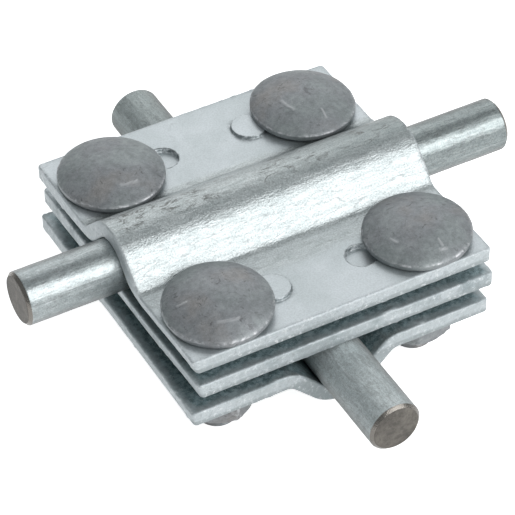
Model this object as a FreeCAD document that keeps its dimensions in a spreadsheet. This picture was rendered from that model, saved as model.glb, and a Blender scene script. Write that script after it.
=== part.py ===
"""Cross connector clamp with two round conductors, in millimetres.

Two square pressed plates face each other, one turned a quarter turn, with a flat
plate between them. A channel in each pressed plate holds one conductor, so the two
conductors cross at right angles. Four carriage bolts with hexagon nuts draw the
stack together.

Frame: X runs along the upper conductor, Y along the lower one and Z up. The clamp
stands on the ends of its four bolts, and the origin is midway between them.
"""

import FreeCAD, Part
import math
import os
import Sketcher
from FreeCAD import Placement, Rotation, Vector

doc = FreeCAD.newDocument("cross_connector_clamp")


# Driving dimensions

SIZES = {
    # conductors
    "conductor_diameter": 10.0,
    "conductor_clearance": 0.1,
    "conductor_chamfer": 0.6,
    "upper_conductor_length": 97.9,
    "upper_conductor_shift": 0.8,
    "lower_conductor_length": 99.2,
    "lower_conductor_shift": 1.6,
    # plates
    "plate_thickness": 3.0,
    "plate_gap": 3.1,
    "edge_distance": 9.76,
    "corner_radius": 0.4,
    "edge_round": 0.35,
    "flank_angle": 45.0,
    "foot_radius": 2.5,
    "middle_hole_clearance": 1.0,
    "middle_plate_shift": 0.8,
    # half-sheared buttons
    "boss_diameter": 6.8,
    "boss_height": 0.6,
    "hollow_diameter": 5.8,
    "hollow_depth": 1.0,
    "raised_button_offset": 8.75,
    "sunk_button_offset": 9.1,
    # carriage bolts
    "bolt_diameter": 8.0,
    "bolt_protrusion": 3.25,
    "bolt_tip_chamfer": 0.8,
    "head_diameter": 19.7,
    "head_edge_radius": 1.15,
    "head_land": 0.2,
    "head_height": 4.2,
    "head_clearance": 0.05,
    "neck_side": 8.0,
    "neck_protrusion": 1.4,
    "neck_clearance": 0.3,
    # nuts
    "nut_across_flats": 13.0,
    "nut_height": 6.5,
    "nut_crown_angle": 30.0,
    "nut_face_margin": 0.3,
    "nut_countersink": 0.5,
    "nut_bore_clearance": 0.05,
    "nut_seat_gap": 0.05,
}

sheet = doc.addObject("Spreadsheet::Sheet", "Sizes")
for row, (alias, number) in enumerate(SIZES.items(), start=1):
    sheet.set(f"A{row}", alias)
    sheet.set(f"B{row}", str(number))
    sheet.setAlias(f"B{row}", alias)
doc.recompute()


def size(alias):
    """The number in the sheet under this alias."""
    return float(sheet.get(alias))


def cell(alias):
    """The same size as a term of an expression."""
    return f"Sizes.{alias}"


def sine(degrees):
    return math.sin(math.radians(degrees))


def cosine(degrees):
    return math.cos(math.radians(degrees))


# Sizes that follow from the driving ones: each as an expression and as a number

CHANNEL = f"({cell('conductor_diameter')} / 2 + {cell('conductor_clearance')})"
channel = size("conductor_diameter") / 2 + size("conductor_clearance")

# a pressed plate's outer face, from the axis of the conductor that it holds
FACE = f"({cell('plate_gap')} + {cell('plate_thickness')} - {CHANNEL})"
face = size("plate_gap") + size("plate_thickness") - channel

# where the channel's foot meets the flat of the plate, from the conductor's axis
FOOT = (
    f"(({CHANNEL} + {cell('plate_thickness')} + {cell('foot_radius')}"
    f" - cos({cell('flank_angle')} * 1 deg) * ({FACE} + {cell('foot_radius')}))"
    f" / sin({cell('flank_angle')} * 1 deg))"
)
foot = (
    channel
    + size("plate_thickness")
    + size("foot_radius")
    - cosine(size("flank_angle")) * (face + size("foot_radius"))
) / sine(size("flank_angle"))

# the bolts stand as close to the channel as the flat seats of their heads allow
BOLT_OFFSET = (
    f"({FOOT} + {cell('head_diameter')} / 2 - {cell('head_edge_radius')}"
    f" + {cell('head_clearance')})"
)
bolt_offset = (
    foot + size("head_diameter") / 2 - size("head_edge_radius") + size("head_clearance")
)

# the plates reach past the bolts by the edge distance
PLATE_SIDE = f"(2 * ({BOLT_OFFSET} + {cell('edge_distance')}))"
plate_side = 2 * (bolt_offset + size("edge_distance"))

# the ring on the plate that a bolt head covers
HEAD_ROOM = f"({cell('head_diameter')} + 2 * {cell('head_clearance')})"
head_room = size("head_diameter") + 2 * size("head_clearance")

# the bolt reaches through three plates, two gaps and the nut
BOLT_LENGTH = (
    f"(3 * {cell('plate_thickness')} + 2 * {cell('plate_gap')} + {cell('nut_seat_gap')}"
    f" + {cell('nut_height')} + {cell('bolt_protrusion')})"
)
bolt_length = (
    3 * size("plate_thickness") + 2 * size("plate_gap") + size("nut_seat_gap")
    + size("nut_height") + size("bolt_protrusion")
)

# heights in the stack, up from the ends of the bolts
TOP_FACE = BOLT_LENGTH
UPPER_AXIS = f"({TOP_FACE} - {FACE})"
MIDDLE_TOP = f"({UPPER_AXIS} - {CHANNEL})"
LOWER_AXIS = f"({MIDDLE_TOP} - {cell('plate_thickness')} - {CHANNEL})"
NUT_TOP = f"({LOWER_AXIS} - {FACE} - {cell('nut_seat_gap')})"


# Helpers for sketches and features

def origin_plane(body, role):
    """The body's own origin plane or axis with this role."""
    return next(part for part in body.Origin.OriginFeatures if part.Role == role)


def new_body(label):
    body = doc.addObject("PartDesign::Body", label)
    body.Label = label
    return body


def new_sketch(body, name, role):
    sketch = body.newObject("Sketcher::SketchObject", name)
    sketch.AttachmentSupport = (origin_plane(body, role), [""])
    sketch.MapMode = "FlatFace"
    return sketch


def line(sketch, start, end):
    return sketch.addGeometry(Part.LineSegment(Vector(*start, 0), Vector(*end, 0)))


def arc(sketch, centre, radius, start, end):
    """An arc from the start angle to the end angle, in degrees, anticlockwise."""
    circle = Part.Circle(Vector(*centre, 0), Vector(0, 0, 1), radius)
    return sketch.addGeometry(Part.ArcOfCircle(circle, math.radians(start), math.radians(end)))


def relate(sketch, kind, *items):
    """Adds a constraint that needs no number."""
    return sketch.addConstraint(Sketcher.Constraint(kind, *items))


def dimension(sketch, name, kind, items, value, expression):
    """Adds a named dimension and binds it to the sheet."""
    index = sketch.addConstraint(Sketcher.Constraint(kind, *items, value))
    sketch.renameConstraint(index, name)
    sketch.setExpression(f"Constraints.{name}", expression)


def bind(feature, **expressions):
    for name, expression in expressions.items():
        feature.setExpression(name, expression)


def edges_where(feature, test):
    """Names of the feature's edges that pass the test."""
    return [f"Edge{i}" for i, edge in enumerate(feature.Shape.Edges, start=1) if test(edge)]


START, END, CENTRE = range(1, 4)
ORIGIN = (-1, 1)
ACROSS_AXIS = -1
UP_AXIS = -2


def circle_sketch(body, name, across, up, across_rule, up_rule, diameter, diameter_rule):
    """A circle on the plan plane, its centre at (across, up)."""
    sketch = new_sketch(body, name, "XY_Plane")
    ring = sketch.addGeometry(Part.Circle(Vector(across, up, 0), Vector(0, 0, 1), diameter / 2))
    dimension(sketch, "across", "DistanceX", (*ORIGIN, ring, CENTRE), across, across_rule)
    dimension(sketch, "up", "DistanceY", (*ORIGIN, ring, CENTRE), up, up_rule)
    dimension(sketch, "diameter", "Diameter", (ring,), diameter, diameter_rule)
    return sketch


def square_sketch(body, name, centre, centre_rule, side, side_rule):
    """A square on the plan plane, its centre the same distance along both axes."""
    sketch = new_sketch(body, name, "XY_Plane")
    low, high = centre - side / 2, centre + side / 2
    corners = [(low, low), (high, low), (high, high), (low, high)]
    sides = [line(sketch, corners[i], corners[(i + 1) % 4]) for i in range(4)]
    for i in range(4):
        relate(sketch, "Coincident", sides[i], END, sides[(i + 1) % 4], START)
        relate(sketch, "Horizontal" if i % 2 == 0 else "Vertical", sides[i])
    low_rule = f"{centre_rule} - {side_rule} / 2"
    dimension(sketch, "width", "DistanceX", (sides[0], START, sides[0], END), side, side_rule)
    dimension(sketch, "height", "DistanceY", (sides[1], START, sides[1], END), side, side_rule)
    dimension(sketch, "across", "DistanceX", (*ORIGIN, sides[0], START), low, low_rule)
    dimension(sketch, "up", "DistanceY", (*ORIGIN, sides[0], START), low, low_rule)
    return sketch


def extrude(body, kind, name, sketch, length_rule, reversed_way=False, symmetric=False):
    feature = body.newObject(kind, name)
    feature.Profile = sketch
    feature.Reversed = reversed_way
    if symmetric:
        feature.SideType = "Symmetric"
    bind(feature, Length=length_rule)
    return feature


def turn_copies(body, name, originals, count):
    """Copies evenly spaced round the body's upright axis."""
    pattern = body.newObject("PartDesign::PolarPattern", name)
    pattern.Originals = originals
    pattern.Axis = (origin_plane(body, "Z_Axis"), [""])
    pattern.Angle = 360
    pattern.Occurrences = count
    body.Tip = pattern
    return pattern


def round_corners(body, base, rule):
    """Rounds the four upright corners of a square plate."""
    half = plate_side / 2

    def upright_corner(edge):
        middle = edge.valueAt((edge.FirstParameter + edge.LastParameter) / 2)
        return abs(abs(middle.x) - half) < 1e-4 and abs(abs(middle.y) - half) < 1e-4

    fillet = body.newObject("PartDesign::Fillet", "Corners")
    fillet.Base = (base, edges_where(base, upright_corner))
    bind(fillet, Radius=rule)
    doc.recompute()
    return fillet


def round_outline(body, base, rule):
    """Softens the sheared outline of a plate on both of its faces."""
    half = plate_side / 2
    thickness = size("plate_thickness")
    corner = half - size("corner_radius") * (1 - 1 / math.sqrt(2))

    def on_outline(edge):
        middle = edge.valueAt((edge.FirstParameter + edge.LastParameter) / 2)
        on_side = abs(abs(middle.x) - half) < 1e-4 or abs(abs(middle.y) - half) < 1e-4
        on_corner = abs(abs(middle.x) - corner) < 1e-4 and abs(abs(middle.y) - corner) < 1e-4
        upright = len(edge.Vertexes) == 2 and abs(
            abs(edge.Vertexes[0].Z - edge.Vertexes[1].Z) - thickness
        ) < 1e-4 and edge.Curve.TypeId == "Part::GeomLine" and abs(edge.Length - thickness) < 1e-4
        return (on_side or on_corner) and not upright

    fillet = body.newObject("PartDesign::Fillet", "Outline")
    fillet.Base = (base, edges_where(base, on_outline))
    bind(fillet, Radius=rule)
    doc.recompute()
    return fillet


# Pressed plate with a channel, drawn about the axis of the conductor that it holds

def half_profile(body):
    """Half of the pressed plate's section across the channel, closed on the mid plane."""
    sketch = new_sketch(body, "ChannelProfile", "YZ_Plane")
    angle = size("flank_angle")
    thickness = size("plate_thickness")
    foot_radius = size("foot_radius")
    half = plate_side / 2
    outer = channel + thickness
    slope = 90 - angle
    foot_centre = (foot, face + foot_radius)

    def on_flank(radius):
        return radius * cosine(slope), radius * sine(slope)

    def on_foot(radius):
        return foot_centre[0] - radius * cosine(slope), foot_centre[1] - radius * sine(slope)

    inner_crest = arc(sketch, (0, 0), channel, slope, 90)
    inner_flank = line(sketch, on_flank(channel), on_foot(foot_radius + thickness))
    inner_foot = arc(sketch, foot_centre, foot_radius + thickness, 180 + slope, 270)
    underside = line(sketch, (foot, face - thickness), (half, face - thickness))
    side = line(sketch, (half, face - thickness), (half, face))
    top = line(sketch, (half, face), (foot, face))
    outer_foot = arc(sketch, foot_centre, foot_radius, 180 + slope, 270)
    outer_flank = line(sketch, on_foot(foot_radius), on_flank(outer))
    outer_crest = arc(sketch, (0, 0), outer, slope, 90)
    crest = line(sketch, (0, outer), (0, channel))

    for ring in (inner_crest, outer_crest):
        relate(sketch, "Coincident", ring, CENTRE, *ORIGIN)
    relate(sketch, "Coincident", inner_foot, CENTRE, outer_foot, CENTRE)
    relate(sketch, "Tangent", inner_crest, START, inner_flank, START)
    relate(sketch, "Tangent", inner_flank, END, inner_foot, START)
    relate(sketch, "Tangent", inner_foot, END, underside, START)
    relate(sketch, "Coincident", underside, END, side, START)
    relate(sketch, "Coincident", side, END, top, START)
    relate(sketch, "Tangent", top, END, outer_foot, END)
    relate(sketch, "Tangent", outer_foot, START, outer_flank, START)
    relate(sketch, "Tangent", outer_flank, END, outer_crest, START)
    relate(sketch, "Coincident", outer_crest, END, crest, START)
    relate(sketch, "Coincident", crest, END, inner_crest, END)
    relate(sketch, "Vertical", crest)
    relate(sketch, "PointOnObject", crest, START, UP_AXIS)
    relate(sketch, "Vertical", side)
    relate(sketch, "Horizontal", top)
    relate(sketch, "Horizontal", underside)

    dimension(sketch, "channel_radius", "Radius", (inner_crest,), channel, CHANNEL)
    dimension(
        sketch, "thickness", "DistanceY", (side, START, side, END),
        thickness, cell("plate_thickness"),
    )
    dimension(
        sketch, "outer_radius", "Radius", (outer_crest,),
        outer, f"{CHANNEL} + {cell('plate_thickness')}",
    )
    dimension(sketch, "foot_radius", "Radius", (outer_foot,), foot_radius, cell("foot_radius"))
    dimension(sketch, "face_height", "DistanceY", (*ORIGIN, side, END), face, FACE)
    dimension(
        sketch, "half_side", "DistanceX", (*ORIGIN, side, END),
        half, f"{PLATE_SIDE} / 2",
    )
    dimension(
        sketch, "flank_angle", "Angle", (ACROSS_AXIS, inner_flank),
        -math.radians(angle), f"0 deg - {cell('flank_angle')} * 1 deg",
    )
    return sketch


def button(body, name, across, across_rule, raised):
    """One half-sheared button: a boss pushed out of one face, with its hollow behind."""
    rules = (across_rule, BOLT_OFFSET)
    outer_rule = FACE
    inner_rule = f"{FACE} - {cell('plate_thickness')}"
    boss_rule, hollow_rule = (outer_rule, inner_rule) if raised else (inner_rule, outer_rule)

    boss_sketch = circle_sketch(
        body, f"{name}Disc", across, bolt_offset, *rules,
        size("boss_diameter"), cell("boss_diameter"),
    )
    boss_sketch.setExpression("AttachmentOffset.Base.z", boss_rule)
    steps = [extrude(
        body, "PartDesign::Pad", f"{name}Boss", boss_sketch, cell("boss_height"), not raised
    )]
    if raised:
        # the bolt head beside it takes the boss away where it bears on the plate
        seat_sketch = circle_sketch(
            body, f"{name}Seat", bolt_offset, bolt_offset, BOLT_OFFSET, BOLT_OFFSET,
            head_room, HEAD_ROOM,
        )
        seat_sketch.setExpression("AttachmentOffset.Base.z", boss_rule)
        steps.append(extrude(
            body, "PartDesign::Pocket", f"{name}SeatCut", seat_sketch, cell("boss_height"), True
        ))
    hollow_sketch = circle_sketch(
        body, f"{name}Ring", across, bolt_offset, *rules,
        size("hollow_diameter"), cell("hollow_diameter"),
    )
    hollow_sketch.setExpression("AttachmentOffset.Base.z", hollow_rule)
    steps.append(extrude(
        body, "PartDesign::Pocket", f"{name}Hollow", hollow_sketch, cell("hollow_depth"), raised
    ))
    doc.recompute()
    return turn_copies(body, f"{name}Pair", steps, 2)


def pressed_plate(label):
    body = new_body(label)
    profile = half_profile(body)
    half = extrude(body, "PartDesign::Pad", "HalfPlate", profile, PLATE_SIDE, symmetric=True)
    doc.recompute()
    whole = body.newObject("PartDesign::Mirrored", "WholePlate")
    whole.Originals = [half]
    whole.MirrorPlane = (origin_plane(body, "XZ_Plane"), [""])
    body.Tip = whole
    doc.recompute()
    corners = round_corners(body, whole, cell("corner_radius"))
    round_outline(body, corners, cell("edge_round"))

    hole_side = size("neck_side") + 2 * size("neck_clearance")
    hole_rule = f"({cell('neck_side')} + 2 * {cell('neck_clearance')})"
    hole_sketch = square_sketch(body, "NeckHole", bolt_offset, BOLT_OFFSET, hole_side, hole_rule)
    hole = body.newObject("PartDesign::Pocket", "NeckHoleCut")
    hole.Profile = hole_sketch
    hole.Type = "ThroughAll"
    hole.SideType = "Symmetric"
    doc.recompute()
    turn_copies(body, "NeckHoles", [hole], 4)
    doc.recompute()
    button(body, "Raised", size("raised_button_offset"), cell("raised_button_offset"), True)
    sunk = -size("sunk_button_offset")
    button(body, "Sunk", sunk, f"0 - {cell('sunk_button_offset')}", False)
    return body


# Flat plate between the conductors

def flat_plate(label):
    body = new_body(label)
    sketch = square_sketch(body, "Square", 0, "0", plate_side, PLATE_SIDE)
    slab = extrude(
        body, "PartDesign::Pad", "Slab", sketch, cell("plate_thickness"), reversed_way=True
    )
    doc.recompute()
    corners = round_corners(body, slab, cell("corner_radius"))
    round_outline(body, corners, cell("edge_round"))
    ring = circle_sketch(
        body, "BoltHole", bolt_offset, bolt_offset, BOLT_OFFSET, BOLT_OFFSET,
        size("bolt_diameter") + 2 * size("middle_hole_clearance"),
        f"{cell('bolt_diameter')} + 2 * {cell('middle_hole_clearance')}",
    )
    hole = body.newObject("PartDesign::Pocket", "BoltHoleCut")
    hole.Profile = ring
    hole.Type = "ThroughAll"
    hole.SideType = "Symmetric"
    doc.recompute()
    turn_copies(body, "BoltHoles", [hole], 4)
    doc.recompute()
    return body


# Carriage bolt, drawn from the seat of its head

def carriage_bolt(label):
    body = new_body(label)
    sketch = new_sketch(body, "BoltProfile", "XZ_Plane")
    head = size("head_diameter") / 2
    edge = size("head_edge_radius")
    rim = edge + size("head_land")
    height = size("head_height")
    shank = size("bolt_diameter") / 2
    length = bolt_length
    tip = size("bolt_tip_chamfer")
    rise = height - rim
    crown = (head**2 + rise**2) / (2 * rise)
    crown_start = math.degrees(math.atan2(rim - height + crown, head))

    dome = arc(sketch, (0, height - crown), crown, crown_start, 90)
    land = line(sketch, (head, rim), (head, edge))
    lip = arc(sketch, (head - edge, edge), edge, 270, 360)
    seat = line(sketch, (head - edge, 0), (shank, 0))
    side = line(sketch, (shank, 0), (shank, tip - length))
    bevel = line(sketch, (shank, tip - length), (shank - tip, -length))
    end = line(sketch, (shank - tip, -length), (0, -length))
    middle = line(sketch, (0, -length), (0, height))

    relate(sketch, "PointOnObject", dome, CENTRE, UP_AXIS)
    relate(sketch, "Coincident", dome, START, land, START)
    relate(sketch, "Tangent", land, END, lip, END)
    relate(sketch, "Tangent", lip, START, seat, START)
    relate(sketch, "Coincident", seat, END, side, START)
    relate(sketch, "Coincident", side, END, bevel, START)
    relate(sketch, "Coincident", bevel, END, end, START)
    relate(sketch, "Coincident", end, END, middle, START)
    relate(sketch, "Coincident", middle, END, dome, END)
    relate(sketch, "Vertical", land)
    relate(sketch, "Horizontal", seat)
    relate(sketch, "Vertical", side)
    relate(sketch, "Horizontal", end)
    relate(sketch, "PointOnObject", middle, START, UP_AXIS)
    relate(sketch, "PointOnObject", middle, END, UP_AXIS)
    relate(sketch, "PointOnObject", seat, END, ACROSS_AXIS)

    dimension(
        sketch, "head_radius", "DistanceX", (*ORIGIN, land, START),
        head, f"{cell('head_diameter')} / 2",
    )
    dimension(sketch, "lip_radius", "Radius", (lip,), edge, cell("head_edge_radius"))
    dimension(
        sketch, "rim_height", "DistanceY", (*ORIGIN, land, START),
        rim, f"{cell('head_edge_radius')} + {cell('head_land')}",
    )
    dimension(
        sketch, "crown_height", "DistanceY", (*ORIGIN, middle, END), height, cell("head_height")
    )
    dimension(
        sketch, "shank_radius", "DistanceX", (*ORIGIN, side, START),
        shank, f"{cell('bolt_diameter')} / 2",
    )
    dimension(sketch, "length", "DistanceY", (end, END, *ORIGIN), length, BOLT_LENGTH)
    dimension(
        sketch, "bevel_depth", "DistanceY", (bevel, END, bevel, START),
        tip, cell("bolt_tip_chamfer"),
    )
    dimension(
        sketch, "bevel_width", "DistanceX", (bevel, END, bevel, START),
        tip, cell("bolt_tip_chamfer"),
    )
    turned = body.newObject("PartDesign::Revolution", "Turned")
    turned.Profile = sketch
    turned.ReferenceAxis = (sketch, ["V_Axis"])
    turned.Angle = 360
    doc.recompute()

    neck = size("neck_side")
    neck_sketch = square_sketch(body, "Square", 0, "0", neck, cell("neck_side"))
    neck_rule = f"{cell('plate_thickness')} + {cell('neck_protrusion')}"
    extrude(body, "PartDesign::Pad", "Neck", neck_sketch, neck_rule, reversed_way=True)
    doc.recompute()
    return body


# Hexagon nut, drawn from the face that bears on the plate

def hexagon_nut(label):
    body = new_body(label)
    flats = size("nut_across_flats")
    corner = flats / 2 / cosine(30)
    height = size("nut_height")
    sketch = new_sketch(body, "Hexagon", "XY_Plane")
    corners = [(corner * cosine(60 * i), corner * sine(60 * i)) for i in range(6)]
    sides = [line(sketch, corners[i], corners[(i + 1) % 6]) for i in range(6)]
    circle = sketch.addGeometry(
        Part.Circle(Vector(0, 0, 0), Vector(0, 0, 1), corner), True
    )
    relate(sketch, "Coincident", circle, CENTRE, *ORIGIN)
    for i in range(6):
        relate(sketch, "Coincident", sides[i], END, sides[(i + 1) % 6], START)
        relate(sketch, "PointOnObject", sides[i], START, circle)
    for i in range(5):
        relate(sketch, "Equal", sides[i], sides[i + 1])
    relate(sketch, "PointOnObject", sides[0], START, ACROSS_AXIS)
    dimension(
        sketch, "corner_circle", "Diameter", (circle,),
        2 * corner, f"{cell('nut_across_flats')} / cos(30 deg)",
    )
    extrude(
        body, "PartDesign::Pad", "Prism", sketch, cell("nut_height"), reversed_way=True
    )
    doc.recompute()

    # the crowned ends are turned down to a ring a little narrower than the flats
    ring = flats / 2 - size("nut_face_margin")
    ring_rule = f"({cell('nut_across_flats')} / 2 - {cell('nut_face_margin')})"
    reach = flats - ring
    reach_rule = f"({cell('nut_across_flats')} - {ring_rule})"
    slope_rule = f"tan({cell('nut_crown_angle')} * 1 deg)"
    drop = reach * math.tan(math.radians(size("nut_crown_angle")))
    crown = new_sketch(body, "CrownProfile", "XZ_Plane")
    for place, sign, level, level_rule in (
        ("near", -1, 0, "0"),
        ("far", 1, -height, f"0 - {cell('nut_height')}"),
    ):
        points = [(ring, level), (ring + reach, level), (ring + reach, level + sign * drop)]
        wedge = [line(crown, points[i], points[(i + 1) % 3]) for i in range(3)]
        for i in range(3):
            relate(crown, "Coincident", wedge[i], END, wedge[(i + 1) % 3], START)
        relate(crown, "Horizontal", wedge[0])
        relate(crown, "Vertical", wedge[1])
        dimension(
            crown, f"{place}_ring", "DistanceX", (*ORIGIN, wedge[0], START), ring, ring_rule
        )
        dimension(
            crown, f"{place}_reach", "DistanceX", (wedge[0], START, wedge[0], END),
            reach, reach_rule,
        )
        ends = (wedge[1], END, wedge[1], START) if sign < 0 else (wedge[1], START, wedge[1], END)
        dimension(
            crown, f"{place}_drop", "DistanceY", ends, drop, f"{reach_rule} * {slope_rule}"
        )
        if sign < 0:
            relate(crown, "PointOnObject", wedge[0], START, ACROSS_AXIS)
        else:
            dimension(
                crown, f"{place}_level", "DistanceY", (wedge[0], START, *ORIGIN),
                height, cell("nut_height"),
            )
    groove = body.newObject("PartDesign::Groove", "Crown")
    groove.Profile = crown
    groove.ReferenceAxis = (crown, ["V_Axis"])
    groove.Angle = 360
    doc.recompute()

    bore = size("bolt_diameter") / 2 + size("nut_bore_clearance")
    bore_rule = f"({cell('bolt_diameter')} / 2 + {cell('nut_bore_clearance')})"
    sink = size("nut_countersink")
    bore_sketch = new_sketch(body, "BoreProfile", "XZ_Plane")
    outline = [
        (0, 0),
        (bore + sink, 0),
        (bore, -sink),
        (bore, sink - height),
        (bore + sink, -height),
        (0, -height),
    ]
    runs = [line(bore_sketch, outline[i], outline[(i + 1) % 6]) for i in range(6)]
    for i in range(6):
        relate(bore_sketch, "Coincident", runs[i], END, runs[(i + 1) % 6], START)
    relate(bore_sketch, "Coincident", runs[0], START, *ORIGIN)
    relate(bore_sketch, "Horizontal", runs[0])
    relate(bore_sketch, "Vertical", runs[2])
    relate(bore_sketch, "Horizontal", runs[4])
    relate(bore_sketch, "Vertical", runs[5])
    for name, run, corner_ends in (("upper", 1, (START, END)), ("lower", 3, (END, START))):
        wide, narrow = corner_ends
        dimension(
            bore_sketch, f"{name}_sink_width", "DistanceX",
            (runs[run], narrow, runs[run], wide), sink, cell("nut_countersink"),
        )
    dimension(
        bore_sketch, "upper_sink_depth", "DistanceY", (runs[1], END, runs[1], START),
        sink, cell("nut_countersink"),
    )
    dimension(
        bore_sketch, "lower_sink_depth", "DistanceY", (runs[3], END, runs[3], START),
        sink, cell("nut_countersink"),
    )
    dimension(
        bore_sketch, "bore_radius", "DistanceX", (*ORIGIN, runs[2], START), bore, bore_rule
    )
    dimension(
        bore_sketch, "depth", "DistanceY", (runs[5], START, *ORIGIN), height, cell("nut_height")
    )
    cut = body.newObject("PartDesign::Groove", "Bore")
    cut.Profile = bore_sketch
    cut.ReferenceAxis = (bore_sketch, ["V_Axis"])
    cut.Angle = 360
    doc.recompute()
    return body


# Round conductor with bevelled ends, drawn along X about its own middle

def conductor(label, length_alias):
    body = new_body(label)
    sketch = new_sketch(body, "Section", "YZ_Plane")
    ring = sketch.addGeometry(
        Part.Circle(Vector(0, 0, 0), Vector(0, 0, 1), size("conductor_diameter") / 2)
    )
    relate(sketch, "Coincident", ring, CENTRE, *ORIGIN)
    dimension(
        sketch, "diameter", "Diameter", (ring,),
        size("conductor_diameter"), cell("conductor_diameter"),
    )
    rod = extrude(
        body, "PartDesign::Pad", "Rod", sketch, cell(length_alias), symmetric=True
    )
    doc.recompute()
    bevel = body.newObject("PartDesign::Chamfer", "EndBevels")
    bevel.Base = (rod, edges_where(rod, lambda edge: edge.Closed))
    bind(bevel, Size=cell("conductor_chamfer"))
    doc.recompute()
    return body


# Assembly

def place(body, rotation=Rotation(), across="0", along="0", height="0"):
    """Turns a piece and puts it at a place worked out from the sheet."""
    body.Placement = Placement(Vector(), rotation)
    bind(
        body,
        **{
            "Placement.Base.x": across,
            "Placement.Base.y": along,
            "Placement.Base.z": height,
        },
    )


UP = Vector(0, 0, 1)
QUARTER_TURN = Rotation(UP, 90)
UPSIDE_DOWN = Rotation(Vector(1, 0, 0), 180)

pieces = []

top_plate = pressed_plate("top_plate")
place(top_plate, height=UPPER_AXIS)
pieces.append(top_plate)

middle_plate = flat_plate("middle_plate")
place(middle_plate, across=cell("middle_plate_shift"), height=MIDDLE_TOP)
pieces.append(middle_plate)

bottom_plate = pressed_plate("bottom_plate")
place(bottom_plate, QUARTER_TURN * UPSIDE_DOWN, height=LOWER_AXIS)
pieces.append(bottom_plate)

upper_conductor = conductor("upper_conductor", "upper_conductor_length")
place(upper_conductor, across=cell("upper_conductor_shift"), height=UPPER_AXIS)
pieces.append(upper_conductor)

lower_conductor = conductor("lower_conductor", "lower_conductor_length")
place(
    lower_conductor, QUARTER_TURN, along=cell("lower_conductor_shift"), height=LOWER_AXIS
)
pieces.append(lower_conductor)

# one bolt and nut at each corner; a nut stands as it was left when it was tightened
CORNERS = (
    ("back_left", -1, 1, 12),
    ("back_right", 1, 1, 41),
    ("front_left", -1, -1, 32),
    ("front_right", 1, -1, 7),
)
for corner_name, side_x, side_y, nut_turn in CORNERS:
    across_rule = f"{side_x} * {BOLT_OFFSET}"
    along_rule = f"{side_y} * {BOLT_OFFSET}"
    bolt = carriage_bolt(f"bolt_{corner_name}")
    place(bolt, across=across_rule, along=along_rule, height=TOP_FACE)
    nut = hexagon_nut(f"nut_{corner_name}")
    place(
        nut, Rotation(UP, nut_turn), across=across_rule, along=along_rule, height=NUT_TOP
    )
    pieces += [bolt, nut]

doc.recompute()


# Checks and export

for item in doc.Objects:
    if "Invalid" in item.State or "Error" in item.State:
        raise RuntimeError(f"{item.Label} failed: {item.State}")
for piece in pieces:
    if piece.Shape.isNull() or not piece.Shape.isValid() or len(piece.Shape.Solids) != 1:
        raise RuntimeError(f"{piece.Label} is not one valid solid")

os.makedirs("parts", exist_ok=True)
for piece in pieces:
    piece.Shape.exportStep(f"parts/{piece.Label}.step")
    box = piece.Shape.BoundBox
    print(
        f"{piece.Label:20s} volume {piece.Shape.Volume:9.1f}"
        f"  x {box.XMin:7.2f} {box.XMax:7.2f}  y {box.YMin:7.2f} {box.YMax:7.2f}"
        f"  z {box.ZMin:7.2f} {box.ZMax:7.2f}"
    )
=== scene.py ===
"""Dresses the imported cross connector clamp: galvanised plates, rods, bolts and nuts.

Lengths are written in millimetres and become metres when a mesh is made. X runs along
the upper rod, Y along the lower one and Z up, from the ends of the bolts.
"""

import math
import bpy
import numpy as np
from mathutils import Matrix, Vector


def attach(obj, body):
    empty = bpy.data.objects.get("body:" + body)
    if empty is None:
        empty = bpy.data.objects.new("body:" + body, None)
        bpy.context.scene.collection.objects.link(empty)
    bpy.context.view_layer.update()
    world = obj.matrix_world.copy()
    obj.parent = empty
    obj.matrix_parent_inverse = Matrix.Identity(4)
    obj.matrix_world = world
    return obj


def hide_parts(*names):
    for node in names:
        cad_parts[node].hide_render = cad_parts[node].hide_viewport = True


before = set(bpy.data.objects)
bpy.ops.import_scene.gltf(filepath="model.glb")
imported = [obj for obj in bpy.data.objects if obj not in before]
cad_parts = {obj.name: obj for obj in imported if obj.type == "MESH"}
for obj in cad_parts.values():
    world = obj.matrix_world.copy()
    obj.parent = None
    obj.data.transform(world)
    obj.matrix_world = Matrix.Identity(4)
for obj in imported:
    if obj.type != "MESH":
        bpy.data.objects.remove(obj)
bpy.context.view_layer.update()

MM = 0.001
PER_METRE = 1000.0


# The sizes that the surfaces share with the solids. FACE is how far the outer face of a
# pressed plate's flats lies beyond its rod's axis.

BOLT_OFFSET = 20.241
PLATE_HALF = 30.001
THICKNESS = 3.0
CORNER_RADIUS = 0.8
EDGE_ROUND = 0.35
CHANNEL_RADIUS = 5.1
FOOT_CENTRE = 11.491
FOOT_RADIUS = 2.5
FACE = 1.0
UPPER_AXIS = 24.0
LOWER_AXIS = 10.8
TOP_FACE = UPPER_AXIS + FACE
MIDDLE_TOP = 18.9
MIDDLE_SHIFT = 0.8
BOTTOM_TOP = LOWER_AXIS + (THICKNESS - FACE)
BOSS_RADIUS = 3.4
BOSS_HEIGHT = 0.6
HOLLOW_RADIUS = 2.9
HOLLOW_DEPTH = 1.0
RAISED_OFFSET = 8.75
SUNK_OFFSET = -9.1
NECK_HOLE = 4.3
ROUND_HOLE = 5.0
ROD_RADIUS = 5.0
ROD_BEVEL = 0.6
UPPER_ROD_LENGTH = 97.9
UPPER_ROD_SHIFT = 0.8
LOWER_ROD_LENGTH = 99.2
LOWER_ROD_SHIFT = 1.6


# Shaping helpers

def ease(low, high, x):
    """0 below low, 1 above high, and 3t² − 2t³ of the way t between them."""
    t = np.clip((x - low) / (high - low), 0.0, 1.0)
    return t * t * (3.0 - 2.0 * t)


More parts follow.
